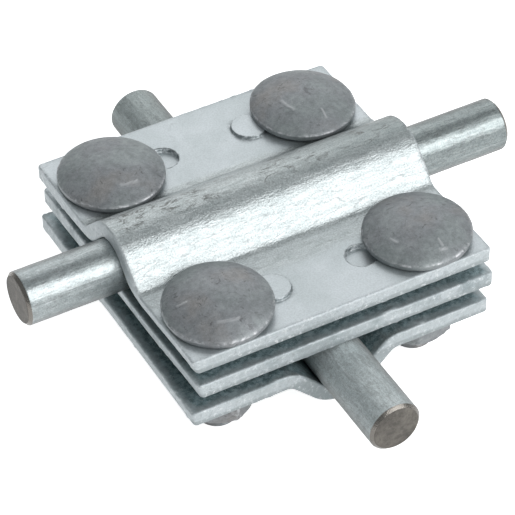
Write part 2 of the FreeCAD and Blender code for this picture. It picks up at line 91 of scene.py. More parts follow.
def lattice_noise(points, cell, seed):
    """Noise from −1 to 1: random values on a cubic lattice with this cell, blended
    between the eight corners round a point with the weights 3t² − 2t³."""
    scaled = points / cell + 512.0
    base = np.floor(scaled).astype(np.int64)
    t = scaled - base
    t = t * t * (3.0 - 2.0 * t)
    total = np.zeros(len(points))
    for corner in np.ndindex(2, 2, 2):
        k = base + np.array(corner)
        h = k[:, 0] * 73856093 ^ k[:, 1] * 19349663 ^ k[:, 2] * 83492791 ^ seed * 2654435761
        h = (h ^ (h >> 13)) * 1274126177 & 0xFFFFFFFF
        h = (h ^ (h >> 16)) & 0xFFFF
        weight = np.prod(np.where(corner, t, 1.0 - t), axis=1)
        total += weight * (h / 32767.5 - 1.0)
    return total


def cloud_noise(points, cell, seed, octaves=3):
    """A sum of lattice noises, each half the cell and half the strength of the last."""
    parts = [lattice_noise(points, cell / 2**k, seed + k) / 2**k for k in range(octaves)]
    return sum(parts)


def vertex_normals(points, faces):
    """Sum of the facing of the quads and triangles round each vertex, made unit long."""
    total = np.zeros_like(points)
    for size in (3, 4):
        group = np.array([face for face in faces if len(face) == size])
        if len(group) == 0:
            continue
        corner = points[group]
        facing = np.cross(corner[:, 2] - corner[:, 0], corner[:, size - 1] - corner[:, 1])
        for k in range(size):
            np.add.at(total, group[:, k], facing)
    return total / np.maximum(np.linalg.norm(total, axis=1, keepdims=True), 1e-12)


def make_piece(name, skin, material, body, node):
    """Makes a smooth-shaded piece of one material from its points, faces and masks. The
    masks become attributes on the vertices. It rides on the body and stands in for the
    node."""
    points, faces, masks = skin
    mesh = bpy.data.meshes.new(name)
    mesh.from_pydata((points * MM).tolist(), [], [tuple(face) for face in faces])
    mesh.polygons.foreach_set("use_smooth", np.ones(len(faces), bool))
    for mask, values in masks.items():
        layer = mesh.attributes.new(mask, "FLOAT", "POINT")
        layer.data.foreach_set("value", np.asarray(values, np.float32))
    mesh.update()
    mesh.materials.append(material)
    piece = bpy.data.objects.new(name, mesh)
    bpy.context.scene.collection.objects.link(piece)
    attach(piece, body)
    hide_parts(node)


def spaced(marks, step):
    """The marks with evenly spaced values between them, no further apart than step."""
    runs = [
        np.linspace(a, b, max(2, int(math.ceil((b - a) / step)) + 1))[:-1]
        for a, b in zip(marks[:-1], marks[1:])
    ]
    return np.concatenate(runs + [[marks[-1]]])


def sheet_shell(upper, lower, keep):
    """Closes two grids of points into one skin: the upper grid's kept cells, the lower
    grid's turned over, and a wall of several bands down every open border."""
    rows, columns = upper.shape[:2]
    count = rows * columns
    index = np.arange(count).reshape(rows, columns)
    cells = np.stack(
        [index[:-1, :-1], index[1:, :-1], index[1:, 1:], index[:-1, 1:]], axis=-1
    )[keep]
    start = cells.ravel()
    end = np.roll(cells, -1, axis=1).ravel()
    border = ~np.isin(start * count + end, end * count + start)
    start, end = start[border], end[border]
    rim = np.unique(start)
    flat_upper, flat_lower = upper.reshape(-1, 3), lower.reshape(-1, 3)
    share = np.arange(1, WALL_BANDS)[:, None, None] / WALL_BANDS
    bands = flat_upper[rim] * (1 - share) + flat_lower[rim] * share
    points = np.concatenate([flat_upper, flat_lower, bands.reshape(-1, 3)])
    place = np.zeros(count, int)
    place[rim] = np.arange(len(rim))
    levels = [np.arange(count)]
    levels += [2 * count + k * len(rim) + place for k in range(WALL_BANDS - 1)]
    levels += [count + np.arange(count)]
    walls = [
        np.stack([a[start], b[start], b[end], a[end]], axis=1)
        for a, b in zip(levels[:-1], levels[1:])
    ]
    faces = np.concatenate([cells, cells[:, ::-1] + count] + walls)
    used = np.unique(faces)
    renumber = np.zeros(len(points), int)
    renumber[used] = np.arange(len(used))
    return points[used], renumber[faces]


def turned_skin(rings):
    """Closes a stack of rings of points, one after another along a piece, into one
    skin, with a middle point and a fan of triangles at either end."""
    count, around = rings.shape[:2]
    index = np.arange(count * around).reshape(count, around)
    after = np.roll(index, -1, axis=1)
    quads = np.stack([index[:-1], after[:-1], after[1:], index[1:]], axis=-1).reshape(-1, 4)
    points = rings.reshape(-1, 3)
    faces = quads.tolist()
    for ring, turn in ((0, -1), (count - 1, 1)):
        middle = len(points)
        points = np.concatenate([points, rings[ring].mean(axis=0, keepdims=True)])
        fan = np.stack([index[ring], after[ring], np.full(around, middle)], axis=1)
        faces += fan[:, ::turn].tolist()
    return points, faces


# Plates

def disc_patch(across, along, centre, half, ring):
    """Bends the grid's squares round centre into circles: within ring the square at
    distance d becomes the circle of radius d, and it is square again at half."""
    a, b = across - centre[0], along - centre[1]
    square = np.maximum(np.abs(a), np.abs(b))
    radius = np.maximum(np.hypot(a, b), 1e-9)
    scale = 1.0 + (1.0 - ease(ring, half, square)) * (square / radius - 1.0)
    return centre[0] + a * scale, centre[1] + b * scale


def round_outline(across, along):
    """Bends the corners of the square grid into quarter circles."""
    reach = PLATE_HALF - CORNER_RADIUS
    a, b = np.abs(across) - reach, np.abs(along) - reach
    corner = (a > 0) & (b > 0)
    scale = np.maximum(a, b) / np.maximum(np.hypot(a, b), 1e-9)
    return (
        np.where(corner, np.sign(across) * (reach + a * scale), across),
        np.where(corner, np.sign(along) * (reach + b * scale), along),
    )


def sheared(points, side, top, front, under):
    """Leans the cut face on the side at this X inwards towards its front: by the under
    amount at the plate's lower face and by the front amount at its front corner."""
    near = ease(3.0, 0.2, np.abs(points[:, 0] - side))
    below = np.clip((top - points[:, 2]) / THICKNESS, 0.0, 1.0)
    ahead = ease(-8.0, -PLATE_HALF, points[:, 1])
    shift = near * (under * below**1.5 * ease(25.0, 0.0, points[:, 1]) + front * ahead)
    return points - np.sign(side) * shift[:, None] * np.array([1.0, 0.0, 0.0])


def edge_drop(depth):
    """How far a rounded edge falls away at this depth in from the outline."""
    inset = np.clip(EDGE_ROUND - depth, 0.0, EDGE_ROUND)
    return EDGE_ROUND - np.sqrt(EDGE_ROUND**2 - inset**2)


# The plates' grids: the widest cell, and the bands down a wall. Lines run this far in from
# the outline and out from a button's centre, where they are round up to BUTTON_ROUND and
# square at the patch's edge. Lines that come closer than LINE_GAP are one.
GRID_STEP = 0.42
WALL_BANDS = 7
EDGE_LINES = (0.0, 0.02, 0.08, 0.18, 0.35, 0.6)
BUTTON_LINES = (
    0.6, 1.2, 1.8, 2.35, 2.65, 2.78, 2.85, 2.92, 3.0, 3.15, 3.25, 3.33, 3.4, 3.47, 3.6, 3.9
)
BUTTON_ROUND = 3.6
BUTTON_PATCH = 4.2
LINE_GAP = 0.018
OUTLINE_MARKS = [PLATE_HALF - depth for depth in (*EDGE_LINES, CORNER_RADIUS)]

# Where the crest and the flank end on the grid's lines across the channel
CREST_MARK = 5.2
FLANK_MARK = 9.6


def mirrored(values):
    """The values and their opposites, in rising order, each once."""
    return np.unique(np.concatenate([-np.asarray(values), np.asarray(values)]))


def thinned(marks):
    """Leaves out marks that come closer than the gap to the one before."""
    kept = [marks[0]]
    for mark in marks[1:]:
        if mark - kept[-1] >= LINE_GAP:
            kept.append(mark)
        elif abs(mark) >= PLATE_HALF - 0.5:
            kept[-1] = mark
    return np.array(kept)


def button_marks(centre):
    """The lines through and round a button, along one way."""
    return [centre + offset for offset in (0.0, *BUTTON_LINES)] + [
        centre - offset for offset in BUTTON_LINES
    ]


def hole_cells(along, across, size):
    """Tells the cells whose middle is nearer than size to a bolt's axis both ways."""
    middles = [np.abs((lines[1:, 1:] + lines[:-1, :-1]) / 2) for lines in (along, across)]
    return np.all([np.abs(middle - BOLT_OFFSET) < size for middle in middles], axis=0)


def pressed_section(lines):
    """The channel's section at each line across it: place and height of the outer face
    and its facing. Crest and foot are arcs, and the flank between them is straight at 45
    degrees. Lines count along the flat as lengths from the middle, and inside the foot
    as the share of foot, flank and crest that is passed."""
    side = np.sign(lines)
    s = np.abs(lines)
    outer_crest = CHANNEL_RADIUS + THICKNESS
    flank_end = np.array([FOOT_CENTRE, FACE + FOOT_RADIUS]) - FOOT_RADIUS / math.sqrt(2)
    flank_start = np.array([outer_crest, outer_crest]) / math.sqrt(2)
    crest_share = np.clip(s / CREST_MARK, 0, 1)
    flank_share = np.clip((s - CREST_MARK) / (FLANK_MARK - CREST_MARK), 0, 1)
    foot_share = np.clip((s - FLANK_MARK) / (FOOT_CENTRE - FLANK_MARK), 0, 1)
    crest_turn = crest_share * math.pi / 4
    foot_turn = math.pi / 4 * (1 - foot_share)
    y = np.where(
        s <= CREST_MARK, outer_crest * np.sin(crest_turn),
        np.where(
            s <= FLANK_MARK,
            flank_start[0] + (flank_end[0] - flank_start[0]) * flank_share,
            np.where(s <= FOOT_CENTRE, FOOT_CENTRE - FOOT_RADIUS * np.sin(foot_turn), s),
        ),
    )
    z = np.where(
        s <= CREST_MARK, outer_crest * np.cos(crest_turn),
        np.where(
            s <= FLANK_MARK,
            flank_start[1] + (flank_end[1] - flank_start[1]) * flank_share,
            FACE + FOOT_RADIUS * (1 - np.cos(foot_turn)),
        ),
    )
    lean = np.where(s <= FLANK_MARK, crest_turn, foot_turn)
    return side * y, z, side * np.sin(lean), np.cos(lean)


def pressed_plate_surface():
    """A pressed plate as two faces 3 mm apart over one grid: the section across the
    channel carried along it, with buttons, a rounded outline and four square holes."""
    hole_marks = (BOLT_OFFSET - NECK_HOLE, BOLT_OFFSET + NECK_HOLE)
    along_marks = np.unique(np.round(np.concatenate([
        mirrored([*hole_marks, *OUTLINE_MARKS, BUTTON_PATCH + RAISED_OFFSET]),
        button_marks(RAISED_OFFSET), button_marks(SUNK_OFFSET),
        -np.array(button_marks(RAISED_OFFSET)), -np.array(button_marks(SUNK_OFFSET)),
    ]), 4))
    across_marks = mirrored([
        0.0, CREST_MARK, FLANK_MARK, FOOT_CENTRE, *hole_marks, *OUTLINE_MARKS,
        *button_marks(BOLT_OFFSET),
    ])
    along_lines = spaced(thinned(along_marks), GRID_STEP)
    across_lines = spaced(thinned(across_marks), GRID_STEP)
    along, across = np.meshgrid(along_lines, across_lines, indexing="ij")
    depth = PLATE_HALF - np.maximum(np.abs(along), np.abs(across))
    x, q = round_outline(along, across)
    outer_rise, inner_rise = np.zeros_like(x), np.zeros_like(x)
    for turn in (1, -1):
        for offset, way in ((RAISED_OFFSET, 1), (SUNK_OFFSET, -1)):
            centre = (turn * offset, turn * BOLT_OFFSET)
            x, q = disc_patch(x, q, centre, BUTTON_PATCH, BUTTON_ROUND)
            radius = np.hypot(x - centre[0], q - centre[1])
            boss = BOSS_HEIGHT * (1.0 - ease(BOSS_RADIUS - 0.16, BOSS_RADIUS + 0.08, radius))
            wall = ease(HOLLOW_RADIUS - 0.12, HOLLOW_RADIUS + 0.02, radius)
            hollow = HOLLOW_DEPTH * (1.0 - wall)
            outer_rise += way * (boss if way > 0 else hollow)
            inner_rise += way * (hollow if way > 0 else boss)
    y, z, lean_y, lean_z = pressed_section(q)
    drop = edge_drop(depth)
    facing = np.stack([np.zeros_like(x), lean_y, lean_z], axis=-1)
    outer = np.stack([x, y, z], axis=-1) + facing * (outer_rise - drop)[..., None]
    inner = np.stack([x, y, z], axis=-1) + facing * (inner_rise + drop - THICKNESS)[..., None]
    return sheet_shell(outer, inner, ~hole_cells(along, across, NECK_HOLE))


def flat_plate_surface():
    """The middle plate as two flat faces over one grid, with a rounded outline and
    four round holes."""
    patch = ROUND_HOLE + 1.6
    marks = mirrored([
        0.0, *OUTLINE_MARKS, BOLT_OFFSET,
        *(BOLT_OFFSET + s * d for s in (-1, 1) for d in (ROUND_HOLE, ROUND_HOLE + 0.4, patch)),
    ])
    lines = spaced(thinned(marks), GRID_STEP)
    along, across = np.meshgrid(lines, lines, indexing="ij")
    depth = PLATE_HALF - np.maximum(np.abs(along), np.abs(across))
    x, y = round_outline(along, across)
    for side_x in (-1, 1):
        for side_y in (-1, 1):
            centre = (side_x * BOLT_OFFSET, side_y * BOLT_OFFSET)
            x, y = disc_patch(x, y, centre, patch, ROUND_HOLE + 0.45)
    drop = edge_drop(depth)
    upper = np.stack([x, y, -drop], axis=-1)
    lower = np.stack([x, y, drop - THICKNESS], axis=-1)
    return sheet_shell(upper, lower, ~hole_cells(along, across, ROUND_HOLE))


COAT_SWELL = 0.03
COAT_LUMPS = 0.010
EDGE_BEADS = 0.22
EDGE_BUILD_UP = 0.03


def zinc_coat(points, faces, masks, seed):
    """Moves each point along its facing as a dipped coat does: a slow swell some 9 mm
    across, small lumps about 1 mm across, and beads on a little build-up where the edge
    mask is high. Gives the whole skin back."""
    facing = vertex_normals(points, faces)
    move = COAT_SWELL * (lattice_noise(points, 9.0, seed) - 1.0)
    move = move + COAT_LUMPS * (cloud_noise(points, 1.3, seed + 7) - 1.2)
    bead = np.maximum(cloud_noise(points, 0.9, seed + 23, 2) - 0.45, 0.0)
    move = move + masks["edge"] * (EDGE_BEADS * bead + EDGE_BUILD_UP)
    return points + facing * move[:, None], faces, masks


def outline_mask(points):
    """1 on the plate's outline and 0 from 0.9 mm inside it."""
    reach = np.maximum(np.abs(points[:, 0]), np.abs(points[:, 1]))
    return ease(PLATE_HALF - 0.9, PLATE_HALF - 0.2, reach)


def button_rims(points):
    """1 on the rims of the raised and the sunk buttons and 0 from 0.35 mm off them."""
    near = np.zeros(len(points))
    for turn in (1, -1):
        for offset, radius in ((RAISED_OFFSET, BOSS_RADIUS), (SUNK_OFFSET, HOLLOW_RADIUS)):
            reach = np.hypot(points[:, 0] - turn * offset, points[:, 1] - turn * BOLT_OFFSET)
            near = np.maximum(near, ease(0.35, 0.08, np.abs(reach - radius)))
    return near


def gap_shade_share(points):
    """Share of painted gap shade on a plate: 0 at its outline, rising to 1 some 2 mm inside it."""
    depth = PLATE_HALF - np.maximum(np.abs(points[:, 0]), np.abs(points[:, 1]))
    return ease(-0.5, 2.2, depth + 0.7 * cloud_noise(points, 3.0, 71))


def torn_mask(points, top):
    """1 on the lower third of the front and back cut edges, where the metal broke."""
    below = top - points[:, 2] + 0.25 * lattice_noise(points, 2.2, 17)
    reach = np.abs(points[:, 1])
    return ease(PLATE_HALF - 1.1, PLATE_HALF - 0.5, reach) * ease(1.75, 2.15, below)


def add_runs(points, runs, level):
    """Low ribbed zinc runs on an upward face at this level: a round swelling with
    rings in it, about each run's centre."""
    up = np.abs(points[:, 2] - level) < 0.3
    for x, y, radius, height in runs:
        r = np.hypot(points[:, 0] - x, points[:, 1] - y) / radius
        ripple = 0.65 + 0.35 * np.cos(9.0 * r + 2.0 * lattice_noise(points, 1.2, 91))
        points[:, 2] += up * height * np.exp(-(r**4)) * ripple
    return points


# Rods

def rod_surface(length, seed):
    """A rod along X about its middle: a circle carried along, drawn in by the bevel at
    both ends, with low streaks and lumps on its side. Its masks are 1 on the cut ends,
    on the bevels and towards the far end, where its colour is darker."""
    half, radius, bevel = length / 2, ROD_RADIUS, ROD_BEVEL
    inner = np.array([0.25, 0.5, 0.7, 0.85, 0.95, 1.0]) * (radius - bevel)
    step_marks = spaced([-half + bevel + 0.25, half - bevel - 0.25], 0.55)
    x = np.concatenate([
        np.full(len(inner), -half), [-half + 0.06, -half + bevel - 0.06, -half + bevel + 0.05],
        step_marks,
        [half - bevel - 0.05, half - bevel + 0.06, half - 0.06], np.full(len(inner), half),
    ])
    r = np.concatenate([
        inner, [radius - bevel + 0.05, radius - 0.04, radius], np.full(len(step_marks), radius),
        [radius, radius - 0.04, radius - bevel + 0.05], inner[::-1],
    ])
    around = 96
    turn = np.linspace(0, 2 * math.pi, around, endpoint=False)
    rings = np.stack(
        np.broadcast_arrays(x[:, None], r[:, None] * np.cos(turn), r[:, None] * np.sin(turn)),
        axis=-1,
    )
    points, faces = turned_skin(rings)
    streaks = lattice_noise(points * np.array([0.08, 1.0, 1.0]), 0.9, seed)
    lumps = cloud_noise(points, 1.6, seed + 3)
    side = np.hypot(points[:, 1], points[:, 2]) / radius
    coat = ease(0.9, 0.99, side)
    swell = lattice_noise(points, 11.0, seed)
    move = 1.0 + coat * (0.003 * streaks + 0.0035 * lumps + 0.004 * swell)
    points = points * np.stack([np.ones_like(move), move, move], axis=1)
    reach = np.abs(points[:, 0])
    cut = ease(half - bevel - 0.03, half - bevel + 0.04, reach)
    ground = cut * ease(half - 0.01, half - 0.05, reach)
    darkened = ease(18.0, 34.0, points[:, 0])
    return points, faces, {"cut": cut, "bevel": ground, "darkened": darkened}


# Bolts

HEAD_RADIUS = 9.85
HEAD_LIP = 0.7
HEAD_LAND = 0.65
HEAD_HEIGHT = 4.2
NECK_HALF = 4.0
NECK_LENGTH = 4.4
SHANK_RADIUS = 4.0
THREAD_PITCH = 1.25
THREAD_DEPTH = 0.6
TIP_BEVEL = 0.8
SEAT_RADIUS = 8.7
STROKE_WIDTH = 0.16


def square_radius(turn, half, corner):
    """Radius of a square with rounded corners in the direction turn."""
    c, s = np.abs(np.cos(turn)), np.abs(np.sin(turn))
    power = 2.0 + 2.0 * half / corner
    return half / (c**power + s**power) ** (1.0 / power)


def bolt_surface(strokes, seed):
    """A carriage bolt down from its seat at z = 0: a spherical cap with a rounded lip,
    a square neck, and a shank whose radius follows the thread's saw wave in turn and
    height. Strokes are short raised lines on the cap. The masks are 1 on the head's rim
    and on the strokes."""
    around = 180
    turn = np.linspace(0, 2 * math.pi, around, endpoint=False)
    rim = HEAD_LIP + HEAD_LAND
    rise = HEAD_HEIGHT - rim
    crown = (HEAD_RADIUS**2 + rise**2) / (2 * rise)
    cap_r = np.concatenate([spaced([0.35, HEAD_RADIUS - 0.45], 0.28), [9.55, 9.7, 9.79, 9.835]])
    cap_z = HEAD_HEIGHT - crown + np.sqrt(crown**2 - cap_r**2)
    cap_z = cap_z - 0.12 * ease(9.4, HEAD_RADIUS, cap_r)
    lip_turn = np.radians([0, 18, 36, 54, 72, 90])
    lip_r = HEAD_RADIUS - HEAD_LIP * (1 - np.cos(lip_turn))
    lip_z = HEAD_LIP * (1 - np.sin(lip_turn))
    seat_r = np.array([7.4, 6.3])
    r = np.concatenate([cap_r, [HEAD_RADIUS, HEAD_RADIUS + 0.02], lip_r, seat_r])
    z = np.concatenate([cap_z, [rim - 0.2, rim - 0.42], lip_z, np.zeros(2)])
    r, z = r[:, None] + 0 * turn, z[:, None] + 0 * turn
    neck_z = np.array([0.0, -0.35, -2.0, -NECK_LENGTH + 0.5, -NECK_LENGTH])[:, None]
    neck_r = square_radius(turn, NECK_HALF, 0.55)[None] + 0 * neck_z
    neck_r[0] += 0.35
    neck_r[-1] = np.minimum(neck_r[-1], SHANK_RADIUS)
    neck_z = neck_z + 0 * turn
    bottom = -TOP_FACE
    thread_z = spaced([bottom + 0.02, -NECK_LENGTH - 0.5], THREAD_PITCH / 8)[::-1]
    thread_z = thread_z[:, None] + 0 * turn
    wave = np.abs(((thread_z / THREAD_PITCH - turn / (2 * math.pi)) % 1.0) * 2 - 1)
    crest = np.clip((wave - 0.1) * 1.25, 0, 1)
    started = ease(-NECK_LENGTH - 0.6, -NECK_LENGTH - 2.2, thread_z)
    thread_r = SHANK_RADIUS - 0.06 - THREAD_DEPTH * crest * started
    tip = SHANK_RADIUS - TIP_BEVEL + (thread_z - bottom)
    thread_r = np.minimum(thread_r, tip)
    end_r = np.array([2.9, 2.0, 1.0])[:, None] + 0 * turn
    end_z = np.full_like(end_r, bottom)
    r = np.concatenate([r, neck_r, thread_r, end_r])
    z = np.concatenate([z, neck_z, thread_z, end_z])
    x, y = r * np.cos(turn), r * np.sin(turn)
    stroke_mask = np.zeros_like(x)
    for cx, cy, lean, reach, height in strokes:
        a = math.radians(lean)
        u = (x - cx) * math.cos(a) + (y - cy) * math.sin(a)
        v = -(x - cx) * math.sin(a) + (y - cy) * math.cos(a)
        bow = v - 0.05 * u**2
        raised = (z > rim - 0.3) * np.exp(-((bow / STROKE_WIDTH) ** 2)) * (
            1.0 - ease(reach * 0.8, reach, np.abs(u))
        )
        z = z + 1.5 * height * raised
        stroke_mask = np.maximum(stroke_mask, 0.75 * raised)
    rings = np.stack([x, y, z], axis=-1)[:, ::-1]
    points, faces = turned_skin(rings)
    stroke_mask = np.concatenate([stroke_mask[:, ::-1].ravel(), np.zeros(2)])
    facing = vertex_normals(points, faces)
    on_head = ease(-0.1, 0.2, points[:, 2])
    dents = 0.05 * lattice_noise(points, 4.5, seed) + 0.022 * cloud_noise(points, 1.1, seed + 5)
    points = points + facing * (dents * on_head)[:, None]
    reach = np.hypot(points[:, 0], points[:, 1])
    rim_mask = ease(9.5, 9.68, reach) * ease(1.1, 1.25, points[:, 2])
    return points, faces, {"rim": rim_mask, "stroke": stroke_mask}


def seat_head(points, shift, tilt):
    """Leans the head as it was drawn down: turned by the tilt about its seat, lifted
    until the seat's lowest edge bears, and shifted, all fading out down the neck."""
    lean = math.hypot(*tilt)
    turn = np.array(Matrix.Rotation(math.radians(lean), 3, Vector((*tilt, 0)).normalized()))
    moved = points @ turn.T
    moved[:, 2] += SEAT_RADIUS * math.sin(math.radians(lean))
    moved[:, :2] += shift
    share = ease(-NECK_LENGTH + 0.6, -0.1, points[:, 2])[:, None]
    return points + (moved - points) * share


# Nuts

NUT_FLATS = 13.0
NUT_HEIGHT = 6.5
NUT_TOP = 9.75
UPPER_CROWN = 0.3
LOWER_CROWN = 1.2
BORE_SINK = 0.3


def nut_surface(turned, seed):
    """A hexagon nut round Z: the radius in each direction is the least of the hexagon's
    and the two crowning cones', the lower one cut further in, and the bore widens at its
    ends. The rim mask is 1 on the corners."""
    around = 144
    turn = np.linspace(0, 2 * math.pi, around, endpoint=False)
    sector = (turn - math.radians(turned)) % (math.pi / 3) - math.pi / 6
    flat = NUT_FLATS / 2
    hexagon = np.minimum(flat / np.cos(sector), flat / math.cos(math.pi / 6) - 0.12)
    level = np.array([0.0, 0.12, 0.35, 0.6, 0.85, 1.1, 1.5, 2.0, 3.25])
    z_out = np.concatenate([-level, -NUT_HEIGHT + level[::-1][1:]])
    upper_cone = flat - UPPER_CROWN - z_out / math.tan(math.radians(30))
    lower_cone = flat - LOWER_CROWN + (NUT_HEIGHT + z_out) / math.tan(math.radians(35))
    cone = np.minimum(upper_cone, lower_cone)
    r_out = np.minimum(hexagon[None], cone[:, None])
    z_out = z_out[:, None] + 0 * turn
    bore = SHANK_RADIUS + 0.05
    z_in = spaced([-NUT_HEIGHT, 0.0], 0.2)[:, None] + 0 * turn
    end_gap = np.minimum(-z_in, NUT_HEIGHT + z_in)
    sink = np.clip(BORE_SINK - end_gap, 0.0, BORE_SINK)
    r_in = bore + sink
    r = np.concatenate([r_out, r_in])
    z = np.concatenate([z_out, z_in])
    rings = np.stack([r * np.cos(turn), r * np.sin(turn), z], axis=-1)
    count = len(rings)
    index = np.arange(count * around).reshape(count, around)
    after = np.roll(index, -1, axis=1)
    below = np.roll(index, -1, axis=0)
    below_after = np.roll(after, -1, axis=0)
    faces = np.stack([index, below, below_after, after], axis=-1).reshape(-1, 4)
    points = rings.reshape(-1, 3)
    facing = vertex_normals(points, faces)
    outside = ease(5.0, 5.6, np.hypot(points[:, 0], points[:, 1]))
    lumps, swell = cloud_noise(points, 1.5, seed), lattice_noise(points, 4.0, seed)
    move = outside * (0.03 * lumps + 0.04 * swell)
    points = points + facing * move[:, None]
    reach = np.hypot(points[:, 0], points[:, 1])
    return points, faces, {"rim": ease(6.9, 7.3, reach), "stroke": np.zeros(len(points))}


# Materials

def add_node(tree, kind, inputs=None, **settings):
    """Adds a node, sets its properties and fills its inputs with sockets or values."""
    node = tree.nodes.new(kind)
    for name, value in settings.items():
        setattr(node, name, value)
    for name, value in (inputs or {}).items():
        socket = node.inputs[name]
        if isinstance(value, bpy.types.NodeSocket):
            tree.links.new(value, socket)
        else:
            socket.default_value = value
    return node


def ramp(tree, value, stops):
    """A colour ramp over a value, with (place, grey or colour) stops."""
    node = add_node(tree, "ShaderNodeValToRGB", {"Fac": value})
    elements = node.color_ramp.elements
    for k, (place, colour) in enumerate(stops):
        element = elements[k] if k < 2 else elements.new(place)
        element.position = place
        element.color = (colour,) * 3 + (1,) if isinstance(colour, float) else (*colour, 1)
    return node.outputs["Color"]


def mix(tree, share, first, second, blend="MIX"):
    """Mixes two colours by a share. The node's sockets 0, 6 and 7 take the share and
    the colours, and its output 2 is the colour."""
    node = add_node(
        tree, "ShaderNodeMix", data_type="RGBA", blend_type=blend, clamp_factor=True
    )
    for k, value in ((0, share), (6, first), (7, second)):
        if isinstance(value, bpy.types.NodeSocket):
            tree.links.new(value, node.inputs[k])
        else:
            node.inputs[k].default_value = value if k == 0 else (*value, 1)
    return node.outputs[2]


def calc(tree, operation, first, second, clamp=False):
    """One arithmetic step on two numbers."""
    return add_node(
        tree, "ShaderNodeMath", {0: first, 1: second}, operation=operation, use_clamp=clamp
    ).outputs[0]


def scaled(tree, value, factor, offset=0.0):
    """A number times a factor, plus an offset."""
    return add_node(
        tree, "ShaderNodeMath", {0: value, 1: factor, 2: offset}, operation="MULTIPLY_ADD"
    ).outputs[0]


def noise(tree, place, scale, detail, roughness=0.5, distortion=0.0):
    """Soft noise over a place, about a half."""
    return add_node(
        tree, "ShaderNodeTexNoise",
        {"Vector": place, "Scale": scale, "Detail": detail, "Roughness": roughness,
         "Distortion": distortion},
    ).outputs[0]


def new_group(name, inputs, outputs):
    """An empty node group with these named sockets."""
    group = bpy.data.node_groups.new(name, "ShaderNodeTree")
    for label, kind, default in inputs:
        socket = group.interface.new_socket(label, in_out="INPUT", socket_type=kind)
        if default is not None:
            socket.default_value = default
    for label, kind in outputs:
        group.interface.new_socket(label, in_out="OUTPUT", socket_type=kind)
    return group, group.nodes.new("NodeGroupInput"), group.nodes.new("NodeGroupOutput")


FLOAT = "NodeSocketFloat"
VECTOR = "NodeSocketVector"


def zinc_bloom_group():
    """The marks of a dipped zinc coat: wide clouds, fine grain, dark pits, pale specks,
    a mottle some three grains across and the height of its skin."""
    group, given, result = new_group(
        "zinc bloom",
        [("Place", VECTOR, None), ("Cloud Size", FLOAT, 8.0), ("Grain Size", FLOAT, 0.5)],
        [
            ("Clouds", FLOAT), ("Grain", FLOAT), ("Pits", FLOAT), ("Specks", FLOAT),
            ("Mottle", FLOAT), ("Height", FLOAT),
        ],
    )
    place = given.outputs["Place"]
    cloud_scale = calc(group, "DIVIDE", PER_METRE, given.outputs["Cloud Size"])
    grain_scale = calc(group, "DIVIDE", PER_METRE, given.outputs["Grain Size"])
    clouds = noise(group, place, cloud_scale, 5.0, 0.62, 0.6)
    grain = noise(group, place, grain_scale, 3.0, 0.6)
    pit_noise = noise(group, place, calc(group, "MULTIPLY", cloud_scale, 3.1), 4.0, 0.7, 1.2)
    pits = ramp(group, pit_noise, [(0.60, 0.0), (0.74, 1.0)])
    speck_noise = noise(group, place, calc(group, "MULTIPLY", grain_scale, 1.7), 2.0)
    specks = ramp(group, speck_noise, [(0.60, 0.0), (0.72, 1.0)])
    mottle = noise(group, place, calc(group, "MULTIPLY", grain_scale, 0.30), 5.0, 0.68)
    height = calc(group, "ADD", calc(group, "MULTIPLY", clouds, 1.5), grain)
    for label, value in (
        ("Clouds", ramp(group, clouds, [(0.30, 0.0), (0.70, 1.0)])), ("Grain", grain),
        ("Pits", pits), ("Specks", specks), ("Mottle", mottle), ("Height", height),
    ):
        group.links.new(value, result.inputs[label])
    return group


def streak_group():
    """Marks that run along a rod or channel: soft streaks from noise stretched along
    one way, thin wavy scores where a second noise crosses its middle, and scuffs."""
    group, given, result = new_group(
        "drawn streaks",
        [("Place", VECTOR, None), ("Stretch", VECTOR, (1.0, 1.0, 1.0)), ("Size", FLOAT, 0.6)],
        [("Streaks", FLOAT), ("Scores", FLOAT), ("Scuffs", FLOAT)],
    )
    stretched = add_node(
        group, "ShaderNodeVectorMath",
        {0: given.outputs["Place"], 1: given.outputs["Stretch"]}, operation="MULTIPLY",
    ).outputs[0]
    scale = calc(group, "DIVIDE", PER_METRE, given.outputs["Size"])
    soft = noise(group, stretched, scale, 4.0, 0.65, 0.3)
    wave = noise(group, stretched, calc(group, "MULTIPLY", scale, 0.30), 2.5, 0.6, 0.4)
    lines = ramp(group, wave, [(0.475, 0.0), (0.53, 0.0), (0.502, 1.0)])
    broken = ramp(group, soft, [(0.45, 0.0), (0.56, 0.9)])
    less = add_node(
        group, "ShaderNodeVectorMath",
        {0: given.outputs["Place"], 1: (0.35, 0.35, 0.35), 2: stretched}, operation="MULTIPLY_ADD",
    ).outputs[0]
    rubbed = noise(group, less, calc(group, "MULTIPLY", scale, 0.27), 6.0, 0.75, 2.2)
    for label, value in (
        ("Streaks", ramp(group, soft, [(0.35, 0.0), (0.65, 1.0)])),
        ("Scores", calc(group, "MULTIPLY", lines, broken)),
        ("Scuffs", ramp(group, rubbed, [(0.51, 0.0), (0.57, 1.0)])),
    ):
        group.links.new(value, result.inputs[label])
    return group


ZINC_BLOOM = zinc_bloom_group()
DRAWN_STREAKS = streak_group()


def new_material(name):
    """A new material with its node tree, its shader and the place on the object."""
    material = bpy.data.materials.new(name)
    material.use_nodes = True
    tree = material.node_tree
    shader = tree.nodes["Principled BSDF"]
    place = add_node(tree, "ShaderNodeTexCoord").outputs["Object"]
    return material, tree, shader, place


def attribute(tree, name):
    """One of the masks on the vertices."""
    return add_node(tree, "ShaderNodeAttribute", attribute_name=name).outputs["Fac"]


def bump(tree, shader, height, distance, strength):
    """Feeds the shader's normal from a height, with the distance in millimetres."""
    node = add_node(
        tree, "ShaderNodeBump",
        {"Height": height, "Distance": distance * MM, "Strength": strength},
    )
    tree.links.new(node.outputs["Normal"], shader.inputs["Normal"])


